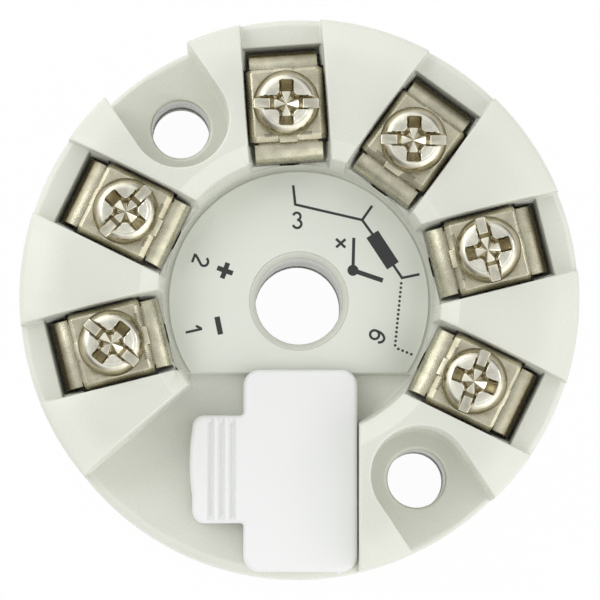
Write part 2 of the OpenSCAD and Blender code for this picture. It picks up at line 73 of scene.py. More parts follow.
# %% [markdown]
# ## Helpers for shapes
# Nearly every piece is a profile carried along a path, or turned round an axis. Both are the
# same thing to the computer: rows of points, joined into a skin of four-sided faces, with a
# flat face at each end. Blender's own cylinders and cubes could be dragged into such shapes,
# but worked out from numbers a shape can be measured, repeated and changed at one place.

# %% Skins of points


def skin(rows, columns, wrap_rows=False):
    """Faces over rows of points, each row a closed ring: point (i, j) has the number
    i * columns + j, and a face joins (i, j), (i, j+1), (i+1, j+1), (i+1, j). The first and
    last rows are closed with a face each, unless the rows wrap round to the first."""
    i = np.arange(rows if wrap_rows else rows - 1)[:, None]
    j = np.arange(columns)[None, :]
    k = (j + 1) % columns
    below = (i + 1) % rows
    quads = np.stack([i * columns + j, i * columns + k,
                      below * columns + k, below * columns + j], -1).reshape(-1, 4)
    faces = quads.tolist()
    if not wrap_rows:
        faces.append(list(range(columns))[::-1])
        faces.append(list(range((rows - 1) * columns, rows * columns)))
    return faces


def turned(profile, steps, hollow=False):
    """A solid turned round Z: profile point (r, z) becomes (r cos a, r sin a, z) for equal
    steps of a. Where the profile meets the axis its ring is one point. A hollow one is a
    ring whose profile closes on itself."""
    profile = np.asarray(profile, float)
    a = np.linspace(0, 2 * math.pi, steps, endpoint=False)
    r, z = profile[:, 0][:, None], profile[:, 1][:, None]
    points = np.stack([r * np.cos(a), r * np.sin(a), z + 0 * a], -1).reshape(-1, 3)
    return points, skin(len(profile), steps, wrap_rows=hollow)


def carried(rings):
    """A solid through rings of points, an array of (ring, point, xyz)."""
    rings = np.asarray(rings, float)
    return rings.reshape(-1, 3), skin(rings.shape[0], rings.shape[1])


def turn(points, degrees, about=(0, 0)):
    """Points turned about a vertical axis: x' = x cos a - y sin a, y' = x sin a + y cos a."""
    a = math.radians(degrees)
    p = np.array(points, float)
    x, y = p[:, 0] - about[0], p[:, 1] - about[1]
    p[:, 0] = about[0] + x * math.cos(a) - y * math.sin(a)
    p[:, 1] = about[1] + x * math.sin(a) + y * math.cos(a)
    return p


def left_of(way):
    """Directions (x, y) turned a quarter to the left."""
    return np.column_stack([-way[:, 1], way[:, 0]])


def level(ring, z):
    """A flat ring of points (x, y) at a height."""
    return np.column_stack([ring, np.full(len(ring), float(z))])


def block(low, high):
    """A box between two corners, as two rings to be carried."""
    (x0, y0, z0), (x1, y1, z1) = low, high
    ring = np.array([(x0, y0), (x1, y0), (x1, y1), (x0, y1)], float)
    return carried([level(ring, z0), level(ring, z1)])


def rod(radius, low, high, steps=48, at=(0, 0)):
    """An upright round rod: the profile (0, low), (radius, low), (radius, high), (0, high)
    turned round the axis and moved to a point."""
    points, faces = turned([(0, low), (radius, low), (radius, high), (0, high)], steps)
    return points + [at[0], at[1], 0], faces

# %% [markdown]
# ## From points to a finished mesh
# A mesh keeps metres. Its doubled points are merged, so that neighbouring faces share their
# edges, and its faces are made to look outwards, because the booleans that cut and weld need
# closed solids. Real edges are never sharp, so a bevel rounds them last.

# %% Meshes


def make_mesh(name, solids):
    """One mesh from a list of (points in mm, faces), merged and with its faces outwards."""
    points, faces, start = [], [], 0
    for p, f in solids:
        points.append(np.asarray(p, float))
        faces += [[n + start for n in face] for face in f]
        start += len(p)
    mesh = bpy.data.meshes.new(name)
    mesh.from_pydata((np.vstack(points) * MM).tolist(), [], faces)
    tidy = bmesh.new()
    tidy.from_mesh(mesh)
    bmesh.ops.remove_doubles(tidy, verts=tidy.verts, dist=1e-7)
    bmesh.ops.dissolve_degenerate(tidy, dist=1e-8, edges=tidy.edges)
    bmesh.ops.recalc_face_normals(tidy, faces=tidy.faces)
    tidy.to_mesh(mesh)
    tidy.free()
    return mesh


def points_of(mesh):
    """The points of a mesh in metres, an array of (point, xyz)."""
    co = np.empty(len(mesh.vertices) * 3)
    mesh.vertices.foreach_get("co", co)
    return co.reshape(-1, 3)


def with_points(mesh, co):
    """The mesh with its points moved to new places."""
    mesh.vertices.foreach_set("co", co.ravel())
    mesh.update()
    return mesh


def smooth(mesh, degrees):
    """Shades the mesh smooth, except over edges sharper than an angle."""
    mesh.polygons.foreach_set("use_smooth", np.ones(len(mesh.polygons), bool))
    mesh.set_sharp_from_angle(angle=math.radians(degrees))
    return mesh


def put(name, data):
    """A new object in the scene."""
    thing = bpy.data.objects.new(name, data)
    bpy.context.scene.collection.objects.link(thing)
    return thing


def finished(mesh, cutters=(), soft=0.0, segments=2, sharper_than=25, how="DIFFERENCE"):
    """The mesh with cutters taken away by booleans, or welded on with how="UNION", and its
    edges rounded over: those with a weight if it has any weights, otherwise those sharper
    than an angle in degrees."""
    work = put("work", mesh)
    tools = [put("tool", cutter) for cutter in cutters]
    for tool in tools:
        cut = work.modifiers.new("cut", "BOOLEAN")
        cut.operation, cut.solver, cut.object = how, "MANIFOLD", tool
    if soft:
        edge = work.modifiers.new("edge", "BEVEL")
        edge.width, edge.segments = soft * MM, segments
        edge.limit_method, edge.angle_limit = "ANGLE", math.radians(sharper_than)
        if "bevel_weight_edge" in mesh.attributes:
            edge.limit_method = "WEIGHT"
        edge.use_clamp_overlap = False
    bpy.context.view_layer.update()
    seen = work.evaluated_get(bpy.context.evaluated_depsgraph_get())
    result = bpy.data.meshes.new_from_object(seen)
    for o in [work] + tools:
        bpy.data.objects.remove(o)
    return result


def held_in(mesh, low, high):
    """The mesh with every point brought inside a box, given by two corners in mm."""
    return with_points(mesh, np.clip(points_of(mesh), np.array(low) * MM,
                                     np.array(high) * MM))


def joined(name, meshes):
    """Several meshes as one."""
    work = bmesh.new()
    for mesh in meshes:
        work.from_mesh(mesh)
    mesh = bpy.data.meshes.new(name)
    work.to_mesh(mesh)
    work.free()
    return mesh

# %% [markdown]
# ## A piece in its place
# A piece's object stays at the origin and its mesh carries the place, as in the frame. It
# rides on one of the frame's bodies, so it moves when that body's joint moves.

# %% Placing a piece


def place(name, mesh, body, material, replaces=()):
    """A finished piece: its mesh carries its place, and it rides on a body of the frame."""
    piece = put(name, mesh)
    mesh.materials.clear()
    mesh.materials.append(material)
    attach(piece, body)
    if replaces:
        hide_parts(*replaces)

# %% [markdown]
# ## Helpers for materials
# A colour is written the way a picture editor shows it, as sRGB, and turned into linear light
# once. A material is a small tree of nodes. One function adds a node, sets what it is told and
# links what it is given, and short ones on top of it name the nodes that come up often.

# %% Colours and nodes
BUMP_MM = 0.02  # how high noise stands in a bump
NOISE_SPAN = (0.3, 0.7)  # most values of a noise lie between these


def linear(colour):
    """sRGB hex to linear: c / 12.92 below 0.04045, else ((c + 0.055) / 1.055) ** 2.4."""
    c = np.array([int(colour[i:i + 2], 16) for i in (1, 3, 5)]) / 255
    c = np.where(c <= 0.04045, c / 12.92, ((c + 0.055) / 1.055) ** 2.4)
    return (*c.tolist(), 1.0)


def add(tree, kind, settings=None, **inputs):
    """Adds a node. Settings are its own attributes. Inputs are named like its sockets with _
    for a space, or in0, in1 for a socket by number, and hold a value or another's output."""
    node = tree.nodes.new(kind)
    for key, value in (settings or {}).items():
        setattr(node, key, value)
    for key, value in inputs.items():
        number = key[2:] if key.startswith("in") and key[2:].isdigit() else None
        socket = node.inputs[int(number)] if number else node.inputs[key.replace("_", " ")]
        if isinstance(value, bpy.types.NodeSocket):
            tree.links.new(value, socket)
        else:
            socket.default_value = value
    return node


def maths(tree, operation, *values):
    """The result of a Math node, from numbers or other nodes' outputs."""
    inputs = {"in%d" % i: value for i, value in enumerate(values)}
    return add(tree, "ShaderNodeMath", {"operation": operation}, **inputs).outputs[0]


def mapped(tree, value, start, end, at_start, at_end):
    """A value between start and end carried to between at_start and at_end, and held there
    beyond them."""
    return add(tree, "ShaderNodeMapRange", Value=value, in1=start, in2=end, in3=at_start,
               in4=at_end).outputs[0]


def mixed(tree, share, first, second, blend="MIX"):
    """Two colours mixed by a share from 0 to 1, or multiplied with blend="MULTIPLY"."""
    return add(tree, "ShaderNodeMix", {"data_type": "RGBA", "blend_type": blend},
               in0=share, A=first, B=second).outputs["Result"]


def axis(tree, vector, which):
    """One coordinate of a vector."""
    return add(tree, "ShaderNodeSeparateXYZ", in0=vector).outputs[which]


def noise(tree, at, scale, detail, rough=0.5):
    """Cloudy noise in space."""
    return add(tree, "ShaderNodeTexNoise", Vector=at, Scale=scale, Detail=detail,
               Roughness=rough).outputs["Fac"]


def surface(tree, out, colour, tone, fine, rough, grain, **more):
    """Gives a material its surface: a colour times a tone, and a roughness between two values
    and a bump, which both follow the same fine noise."""
    bump = add(tree, "ShaderNodeBump", Strength=grain, Distance=BUMP_MM * MM, Height=fine)
    shader = add(tree, "ShaderNodeBsdfPrincipled", Normal=bump.outputs[0],
                 Base_Color=mixed(tree, 1.0, colour, tone, "MULTIPLY"),
                 Roughness=mapped(tree, fine, *NOISE_SPAN, *rough), **more)
    tree.links.new(shader.outputs[0], out.inputs["Surface"])


def new_material(name):
    """An empty material with its output node: (material, tree, output)."""
    material = bpy.data.materials.new(name)
    material.use_nodes = True
    tree = material.node_tree
    tree.nodes.clear()
    return material, tree, add(tree, "ShaderNodeOutputMaterial")


def per_mm(size_mm):
    """Noise scale, in repeats per metre, for a pattern of a size in millimetres."""
    return 1 / (size_mm * MM)

# %% [markdown]
# ## The camera
# The object was photographed from straight above with a long lens, a little from the lower
# left, so that the centre hole shows more of its upper wall. The camera's place follows from
# how far deep edges stand shifted against high ones.

# %% Camera
CAMERA_MM = np.array([-5.57, -26.77, 433.8])
AIM_MM = np.array([0.02, -0.255, 16.7])
FOCUS_PX, FRAME_PX, SENSOR_MM = 5455, 600, 36

camera = put("camera", bpy.data.cameras.new("camera"))
camera.data.sensor_width = SENSOR_MM
camera.data.lens = SENSOR_MM * FOCUS_PX / FRAME_PX
camera.data.clip_start, camera.data.clip_end = 0.01, 10
back = Vector(CAMERA_MM - AIM_MM).normalized()
right = Vector((0, 1, 0)).cross(back).normalized()
camera.matrix_world = (Matrix.Translation(Vector(CAMERA_MM * MM))
                       @ Matrix((right, back.cross(right), back)).transposed().to_4x4())
bpy.context.scene.camera = camera
print("lens %.0f mm" % camera.data.lens)

# %% [markdown]
# ## Light and floor
# A product shot like this is lit by a light tent: soft light from all over the upper half of
# the room, a little darker straight above, where the camera looks in. That darker middle is
# what lets flat metal show its own colour. Two opposite sides of the tent are brighter than
# the others, which draws a pair of arcs on every round screw head. Lamps alone would leave the
# metal black between their mirror images, so they are weak and only give a direction.

# %% Tent and lamps
world = bpy.data.worlds.new("tent")
bpy.context.scene.world = world
world.use_nodes = True
tree = world.node_tree
tree.nodes.clear()
way = add(tree, "ShaderNodeTexCoord").outputs["Generated"]
tent = add(tree, "ShaderNodeValToRGB", in0=axis(tree, way, "Z"))
TENT_GREYS = [(0.0, 0.90), (0.3, 0.86), (0.55, 0.79), (0.7, 0.82), (0.86, 0.82),
              (0.93, 0.66), (0.97, 0.54), (1.0, 0.50)]  # (height from 0 to 1, grey)
TENT_STRENGTH, TENT_SIDES = 1.29, 1.9
while len(tent.color_ramp.elements) < len(TENT_GREYS):
    tent.color_ramp.elements.new(0.5)
for stop, (at, grey) in zip(tent.color_ramp.elements, TENT_GREYS):
    stop.position, stop.color = at, (grey, grey, grey, 1)
seen = add(tree, "ShaderNodeLightPath")
white = add(tree, "ShaderNodeBackground", Color=(1, 1, 1, 1), Strength=1.0)
across = maths(tree, "MULTIPLY", axis(tree, way, "X"), axis(tree, way, "Y"))
sides = maths(tree, "MULTIPLY_ADD", across, -TENT_SIDES, TENT_STRENGTH)
light = add(tree, "ShaderNodeBackground", Color=tent.outputs["Color"], Strength=sides)
both = add(tree, "ShaderNodeMixShader", in0=seen.outputs["Is Camera Ray"],
           in1=light.outputs[0], in2=white.outputs[0])
add(tree, "ShaderNodeOutputWorld", Surface=both.outputs[0])


def soft_light(name, at, size, power):
    """A square lamp that looks at the object: place and size in metres, power in watts."""
    lamp = put(name, bpy.data.lights.new(name, "AREA"))
    lamp.data.shape, lamp.data.size, lamp.data.energy = "SQUARE", size, power
    lamp.location = at
    lamp.rotation_euler = Vector(at).to_track_quat("Z", "Y").to_euler()


soft_light("key", at=(-0.28, 0.10, 0.42), size=0.15, power=0.18)
soft_light("fill", at=(0.40, 0.10, 0.30), size=0.16, power=0.13)

# %% [markdown]
# The floor is white paper. Where the camera, a mirror-like face or a clear piece looks at it,
# nearly all of it glows in plain white, and the little that stays matt takes the object's
# shadow. For all other light it is ordinary matt paper, so it adds no light of its own.

# %% Floor
FLOOR_GLOW, FLOOR_HALF = 0.97, 3.0
FLOOR_Z = -0.02 * MM  # a hair lower than the base, so that the two faces never coincide
floor_mesh = bpy.data.meshes.new("floor")
floor_mesh.from_pydata([(x * FLOOR_HALF, y * FLOOR_HALF, FLOOR_Z)
                        for x, y in ((-1, -1), (1, -1), (1, 1), (-1, 1))], [], [[0, 1, 2, 3]])
floor = put("floor", floor_mesh)
paper, tree, out = new_material("white_paper")
rays = add(tree, "ShaderNodeLightPath").outputs
shown = maths(tree, "MAXIMUM", rays["Is Camera Ray"], rays["Is Glossy Ray"])
shown = maths(tree, "MAXIMUM", shown, rays["Is Transmission Ray"])
share = maths(tree, "MULTIPLY", shown, FLOOR_GLOW)
matt = add(tree, "ShaderNodeBsdfDiffuse", Color=linear("#F4F4F2"))
glow = add(tree, "ShaderNodeEmission", Color=(1, 1, 1, 1), Strength=1.0)
both = add(tree, "ShaderNodeMixShader", in0=share, in1=matt.outputs[0],
           in2=glow.outputs[0])
tree.links.new(both.outputs[0], out.inputs["Surface"])
floor_mesh.materials.append(paper)

# %% [markdown]
# ## Moulded plastic
# The housing is a light grey moulded plastic such as polycarbonate. Up close it shows a very
# fine satin grain from the tool's surface, and its colour is even, except that its level faces
# carry painted shade: they are drawn a shade darker than its sloping ones. The cover is the
# same kind of plastic in white, and the base plate in a slightly paler grey.

# %% Plastics
CLOUD_MM = 9  # a moulding's faint clouds follow how the plastic flowed into the tool
GRAIN_MM = 0.12  # the satin grain
LEVEL_FROM, LEVEL_FULL = 0.972, 0.990  # cosines of a face's slope, from sloping to level


def moulded(name, colour, rough=0.5, grain=0.05, cloud=0.03, ior=1.5, level_shade=1.0):
    """Moulded plastic: even colour with faint clouds of a few mm, and a fine satin grain that
    is drawn a little coarser than real so that it shows. Level faces have their colour times
    a factor below 1: painted shade, standing in for the side light that sloping faces catch
    more of."""
    material, tree, out = new_material(name)
    coords = add(tree, "ShaderNodeTexCoord").outputs
    clouds = noise(tree, coords["Object"], per_mm(CLOUD_MM), 2)
    fine = noise(tree, coords["Object"], per_mm(GRAIN_MM), 3)
    # Painted shade: level faces are darkened, standing in for the side light that sloping
    # faces catch.
    level_shade_share = mapped(tree, axis(tree, coords["Normal"], "Z"), LEVEL_FROM, LEVEL_FULL, 1.0,
                    level_shade)
    tone = maths(tree, "MULTIPLY", level_shade_share,
                 mapped(tree, clouds, *NOISE_SPAN, 1 - cloud, 1 + cloud))
    surface(tree, out, linear(colour), tone, fine, (rough - 0.05, rough + 0.05), grain,
            IOR=ior)
    return material


# Painted shade: the housing's level faces are drawn 0.935 times as bright as its sloping ones.
housing_plastic = moulded("housing_polycarbonate_moulded", "#DEE0D5", rough=0.3,
                          ior=1.585, level_shade=0.935)
base_plastic = moulded("base_polycarbonate_moulded", "#ECEDE8")
cover_plastic = moulded("cover_polycarbonate_moulded", "#ECEDEC", rough=0.35, cloud=0.01,
                        ior=1.585)
socket_plastic = moulded("socket_nylon_moulded", "#1C1D1F", rough=0.55)
chip_plastic = moulded("chip_epoxy_moulded", "#202123", rough=0.6, grain=0.15)
label_film = moulded("label_polyester_film_matt", "#E4E8DE", rough=0.55, grain=0.03,
                     cloud=0.02)
ink_black = moulded("label_ink_screen_printed", "#2E302F", rough=0.5, grain=0.05)

# %% [markdown]
# ## Nickel plate
# The terminals, clamp plates and screws are steel and brass with a nickel plating. Nickel is a
# warm, slightly yellow metal. The strips are bent from rolled sheet and look grainy, the
# screws are pressed and tumbled and shine more.

# %% Metals
STAIN_MM = 0.9  # stains of the plating bath, and what fingers leave


def nickel(name, colour, painted_shade, rough, grain_mm, grain, steep=(0.45, 0.8), streak=0,
           bend_shade=None, deep=None):
    """Nickel plating with a grain of a size in mm, drawn a little coarser than real. Steep
    faces turn a dull brownish colour, fading in between two cosines of the slope: painted
    reflection of the dark surroundings that steep metal mirrors. Streak draws the grain out
    across a strip. An outer-bend range gives the distances in mm between which a strip's outer
    bend turns brown: painted shade where it dips into the dark pocket. Deep gives the heights
    in mm between which a quarter of that brown comes back: painted shade in a recess."""
    material, tree, out = new_material(name)
    coords = add(tree, "ShaderNodeTexCoord").outputs
    at, repeats = coords["Object"], 1 / MM
    if streak:
        at = add(tree, "ShaderNodeMapping", Vector=coords["UV"],
                 Scale=(1, 1 / streak, 1)).outputs[0]
        repeats = 1  # UV coordinates are in mm already
    fine = noise(tree, at, repeats / grain_mm, 4, 0.65)
    stains = noise(tree, coords["Object"], per_mm(STAIN_MM), 3)
    # Painted reflection: steep faces turn brownish, standing in for the dark surroundings that
    # steep metal mirrors.
    unshaded = mapped(tree, axis(tree, coords["Normal"], "Z"), *steep, 0.0, 1.0)
    # Painted shade: a strip's outer bend turns brown where it dips into the dark pocket.
    if bend_shade:
        bend_unshaded = mapped(tree, axis(tree, coords["UV"], "X"), *bend_shade, 1.0, 0.0)
        unshaded = maths(tree, "MULTIPLY", unshaded, bend_unshaded)
    # Painted shade: lower in a screw's recess, a quarter of the brownish colour comes back.
    if deep:
        recess_unshaded = mapped(tree, axis(tree, coords["Object"], "Z"), deep[0] * MM,
                          deep[1] * MM, 0.75, 1.0)
        unshaded = maths(tree, "MULTIPLY", unshaded, recess_unshaded)
    surface(tree, out, mixed(tree, unshaded, linear(painted_shade), linear(colour)),
            mapped(tree, stains, 0.35, 0.65, 0.84, 1.06), fine, (rough * 0.6, rough * 1.5),
            grain, Metallic=1.0)
    return material


# Each metal's second, brownish colour is painted reflection on steep faces and painted shade
# in bends and recesses.
strip_nickel = nickel("strip_nickel_plated_rolled", "#CDC9B2", "#766C52", 0.26, 0.07, 0.9,
                      steep=(0.0, 0.5), streak=4, bend_shade=(3.35, 3.95))
clamp_nickel = nickel("clamp_nickel_plated_pressed", "#D0CBB3", "#8B8064", 0.24, 0.14, 0.5,
                      steep=(0.45, 0.92))
screw_top = box_mm("screw_1")[1][2]
screw_nickel = nickel("screw_nickel_plated_tumbled", "#ECEADA", "#A19677", 0.15, 0.16, 0.25,
                      steep=(0.60, 0.90), deep=(screw_top - 0.8, screw_top - 0.4))
gold = nickel("contact_gold_plated", "#E0B64C", "#A8863A", 0.2, 0.1, 0.1)

# %% [markdown]
# ## The board's own materials
# A circuit board is glass-fibre epoxy under a green solder mask, smooth and a little glossy.
# The transformer's core is ferrite, a black ceramic pressed from powder, so it stays rough.
# The capacitors are fired ceramic, tan and dull. They all have grain and clouds as mouldings
# do, so the same function gives them their own colour, roughness and bump.

# %% Board, core and ceramics
board_green = moulded("board_epoxy_solder_mask", "#1F5B35", rough=0.3)
ferrite = moulded("core_ferrite_sintered", "#3A3735", rough=0.75, grain=0.3)
ceramic = moulded("capacitor_ceramic_fired", "#B79A6C", rough=0.5)

# %% [markdown]
# ## The housing
# The frame's own housing has the right shape but knife-sharp edges, and a moulding never has
# those: the tool's edges are rounded by a tenth of a millimetre or two. It could be modelled
# again from nothing, but then it might drift from the construction. So a copy of its mesh is
# merged, its flat faces are joined, and every edge is rounded over. The base plate, the
# socket and the chips are moulded too, and are treated alike.

# %% Rounding over a piece of the frame
MOST_CORNERS = 60  # a face with more corners is cut into triangles before it is bevelled
SHARP_ANGLE = math.radians(22)


def softened(node, soft, segments=2, sharp_beyond=1e3):
    """A merged copy of a node's mesh, its flat faces joined, its edges rounded over, and
    no point of it outside the node's box. Upright edges further than sharp_beyond mm from the
    axis stay sharp: so close to the facets of a round wall, a rounding would fold over."""
    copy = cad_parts[node].data.copy()
    work = bmesh.new()
    work.from_mesh(copy)
    bmesh.ops.remove_doubles(work, verts=work.verts, dist=1e-6)
    bmesh.ops.dissolve_limit(work, angle_limit=math.radians(1), verts=work.verts,
                             edges=work.edges)
    crowded = [f for f in work.faces if len(f.verts) > MOST_CORNERS]
    bmesh.ops.triangulate(work, faces=crowded)
    weight = work.edges.layers.float.new("bevel_weight_edge")
    for e in work.edges:
        a, b = (v.co for v in e.verts)
        upright = abs(a.z - b.z) > 0.7 * (a - b).length
        outside = min(a.xy.length, b.xy.length) > sharp_beyond * MM
        if e.calc_face_angle(0) > SHARP_ANGLE and not (upright and outside):
            e[weight] = 1.0
    work.to_mesh(copy)
    work.free()
    return held_in(finished(copy, soft=soft, segments=segments), *box_mm(node))


def bar(section, x0, x1):
    """A section of points (y, z) carried along X from x0 to x1."""
    section = np.asarray(section, float)
    return carried([np.column_stack([np.full(len(section), x), section]) for x in (x0, x1)])


def at_terminals(solids):
    """The same solids at each of the six terminals."""
    return [(turn(p, angle), f) for angle in TERMINAL_ANGLES for p, f in solids]

# %% [markdown]
# Each terminal stands in a pocket. Its walls lean in below the shelf's level, and its floor
# ends in a straight lip towards the label. Inside the three holes, the joint between housing
# and base plate shows as a wider ring, cut with a rod at the joint's height.

# %% Pockets and joints of the housing
POCKET_Z, LIP_Z, LIP_X = 12.4, 12.42, (9.7, 10.56)
LIP_Y, LIP_OPEN_Y, ABOVE = 3.0, 3.22, 18  # the lip's half width, wider above, and a height
RECESS_JOINT, CENTRE_JOINT = (3.0, 1.0, 2.9), (4.0, 1.5, 2.5)  # radius, low, high
SHELF_Z, LEAN_Z = 15.42, 14.6
WALL_Y, SHELF_Y, LEAN_Y = 3.3, 3.07, 2.86  # behind the wall, at its top, and leaned in
LEAN_X = ((10.66, 11.92), (17.84, 19.35))  # the stretches beside the strip's two feet
lip_cuts = make_mesh("lip_cuts", at_terminals([
    bar([(-LIP_Y, LIP_Z), (LIP_Y, LIP_Z), (LIP_OPEN_Y, ABOVE), (-LIP_OPEN_Y, ABOVE)],
        *LIP_X)]))
pocket_walls = make_mesh("pocket_walls", at_terminals([
    bar([(side * WALL_Y, SHELF_Z), (side * SHELF_Y, SHELF_Z), (side * LEAN_Y, LEAN_Z),
         (side * LEAN_Y, POCKET_Z - 0.1), (side * WALL_Y, POCKET_Z - 0.1)], x0, x1)
    for side in (-1, 1) for x0, x1 in LEAN_X]))
points, faces = rod(*RECESS_JOINT, at=(FIXING_R, 0))
joint_rings = make_mesh("joint_rings", [(turn(points, a), faces) for a in FIXING_ANGLES]
                        + [rod(*CENTRE_JOINT, 64)])
print("pocket walls:", len(pocket_walls.polygons), "faces")

# %% Mouldings
OUTER_WALL = 21.2  # mm from the axis, where upright edges stay sharp

for node, soft, material in (("housing", 0.14, housing_plastic),
                             ("base_plate", 0.12, base_plastic),
                             ("port_socket", 0.06, socket_plastic),
                             ("processor", 0.05, chip_plastic),
                             ("converter", 0.05, chip_plastic),
                             ("regulator", 0.05, chip_plastic),
                             ("transformer", 0.12, ferrite)):
    mesh = softened(node, soft, 3 if node == "housing" else 2, sharp_beyond=OUTER_WALL)
    if node == "housing":
        mesh = joined("housing", [finished(mesh, [lip_cuts, joint_rings]), pocket_walls])
    smooth(mesh, 40)
    place(node + "_moulding", mesh, "base", material, [node])
    print(node, "faces:", len(mesh.polygons))

# %% [markdown]
# ## The sliding cover
# One white moulding: a body, a grip tab with three soft grooves, and two legs that reach
# through slots in the deck and hold it down while it slides. Its outline is a chain of
# rounded corners, and the rounded upper edge is that outline drawn in a little, ring by ring.

# %% The cover's outline


def outline(corners, inset, steps=8):
    """Points round an outline of rounded corners (x, y, radius, turn), turn +1 outward and
    -1 inward, all edges moved inwards by inset. An outward corner's radius shrinks by the
    inset and an inward corner's grows by it."""
    corners = np.asarray(corners, float)
    here, before, after = corners[:, :2], np.roll(corners, 1, 0)[:, :2], \
        np.roll(corners, -1, 0)[:, :2]
    come = here - before
    come /= np.linalg.norm(come, axis=1)[:, None]
    leave = after - here
    leave /= np.linalg.norm(leave, axis=1)[:, None]
    radius = np.maximum(corners[:, 2] - corners[:, 3] * inset, 0.02)
    moved = here + inset * (left_of(come) + left_of(leave))
    middle = moved + radius[:, None] * (leave - come)
    t = np.linspace(0, math.pi / 2, steps)[None, :, None]
    ring = middle[:, None] + radius[:, None, None] * (
        come[:, None] * np.sin(t) - leave[:, None] * np.cos(t))
    return ring.reshape(-1, 2)


def bulged(ring, first=39, bulge=0.2):
    """The ring with more points on the tab's left side, moved out by bulge times a sine to
    the power 0.6: the side is a little full below its upper corner. It starts at point 39,
    the last of the fifth corner's eight."""
    s = np.linspace(0, 1, 16)[1:-1, None]
    side = ring[first] + (ring[first + 1] - ring[first]) * s
    wave = np.sin(math.pi * np.clip((s[:, 0] - 0.04) / 0.76, 0, 1)) ** 0.6
    side[:, 0] -= bulge * wave
    return np.vstack([ring[:first + 1], side, ring[first + 1:]])


COVER_EDGE, COVER_ROUND, TAB_ROUND, INNER_ROUND = 0.42, 1.25, 0.9, 0.25
low, high = box_mm("slide_cover")
TAB_LEFT, BODY_LEFT, BODY_RIGHT = low[0], -4.3, high[0]
COVER_TOP, COVER_LOW, COVER_END = high[2], 10.65, low[1]
BODY_TOP, TAB_TOP, TAB_END = -5.4, -8.95, -17.25
cover_corners = [
    (BODY_RIGHT, COVER_END, COVER_ROUND, 1), (BODY_RIGHT, BODY_TOP, COVER_ROUND, 1),
    (BODY_LEFT, BODY_TOP, COVER_ROUND, 1), (BODY_LEFT, TAB_TOP, INNER_ROUND, -1),
    (TAB_LEFT, TAB_TOP, TAB_ROUND, 1), (TAB_LEFT, TAB_END, TAB_ROUND, 1),
    (BODY_LEFT, TAB_END, INNER_ROUND, -1), (BODY_LEFT, COVER_END, COVER_ROUND, 1)]
print("cover from x %.2f to %.2f mm" % (TAB_LEFT, BODY_RIGHT))

# %% [markdown]
# The grip grooves are waves without an edge, so a thumb finds them and dirt doesn't. They are
# cut by boolean from the closed shell, and so is the hollow underneath, because a moulding
# has thin walls. A stub shows where the plastic came in through the tool's gate.

# %% The cover's grooves
GROOVE_X, GROOVE_HALF, GROOVE_DEEP = (-6.84, -6.00, -5.16), 0.37, 0.47
COVER_WALL = 1.1
LAP_Y, LAP_Z = (-5.8, -5.0), 11.55  # the upper end is cut free so that it laps the label
t = np.linspace(0, math.pi / 2, 9)
shell = [level(bulged(outline(cover_corners, 0.12)), COVER_LOW),
         level(bulged(outline(cover_corners, 0.0)), COVER_LOW + 0.12)]
shell += [level(bulged(outline(cover_corners, COVER_EDGE * (1 - math.cos(a)))),
                COVER_TOP - COVER_EDGE * (1 - math.sin(a))) for a in t]
body = make_mesh("cover", [carried(shell)])


def groove(x, y0, y1, z, half, deep, ends=0.7):
    """A cutter along Y for a wave-shaped groove: z = -deep (1 + cos(pi x / half)) / 2, which
    leaves the surface without an edge. Its depth fades in over the same kind of wave at both
    ends."""
    u = np.linspace(-1, 1, 21)
    rise = np.linspace(0, 1, 9)
    along = np.concatenate([y0 + ends * rise, y1 - ends * rise[::-1]])[:, None]
    grow = (1 - np.cos(math.pi * rise)) / 2
    grow = np.concatenate([grow, grow[::-1]])[:, None]
    wave = 0.02 - deep * grow * (1 + np.cos(math.pi * u)) / 2
    rows = np.stack([x + half * u + 0 * wave, along + 0 * wave, z + wave], -1)
    lid = rows[:, ::-1] * [1, 1, 0] + [0, 0, z + 0.6]
    return carried(np.concatenate([rows, lid], 1))


grooves = make_mesh("grooves", [
    groove(x, TAB_END + 0.05, TAB_TOP - 0.05, COVER_TOP, GROOVE_HALF, GROOVE_DEEP)
    for x in GROOVE_X])
hollow = make_mesh("hollow", [
    block((BODY_LEFT + COVER_WALL, COVER_END + COVER_WALL, COVER_LOW - 1),
          (BODY_RIGHT - COVER_WALL, BODY_TOP - 1.4, COVER_TOP - COVER_WALL)),
    block((-12, LAP_Y[0], COVER_LOW - 1), (12, LAP_Y[1], LAP_Z))])

# %% The cover
PRONG_X, PRONG_Y, PRONG_HALF, PRONG_LOW = (-3.5, -0.5), 3.05, 0.6, 8.5
HOOK_Y, HOOK_Z = (0.55, 1.1), (8.55, 9.2)  # how far a hook stands out, and its heights
GATE_AT = (3.02, COVER_END + 0.1)
cover = finished(body, [grooves, hollow], soft=0.05, segments=2, sharper_than=24)
legs = []
for side in (-1, 1):
    y = (TAB_TOP + TAB_END) / 2 + side * PRONG_Y
    legs.append(block((PRONG_X[0], y - PRONG_HALF, PRONG_LOW),
                      (PRONG_X[1], y + PRONG_HALF, COVER_TOP - 1.05)))
    hook = sorted((y + side * HOOK_Y[0], y + side * HOOK_Y[1]))
    legs.append(block((PRONG_X[0], hook[0], HOOK_Z[0]), (PRONG_X[1], hook[1], HOOK_Z[1])))
stub = turned([(0, COVER_LOW + 0.3), (0.24, COVER_LOW + 0.3), (0.28, COVER_TOP - 1.0),
               (0.2, COVER_TOP - 0.62), (0, COVER_TOP - 0.5)], 24)
legs.append((stub[0] + [*GATE_AT, 0], stub[1]))
cover = smooth(joined("cover", [cover, make_mesh("legs", legs)]), 35)
place("cover_moulding", cover, "cover", cover_plastic, ["slide_cover"])
print("cover faces:", len(cover.polygons))

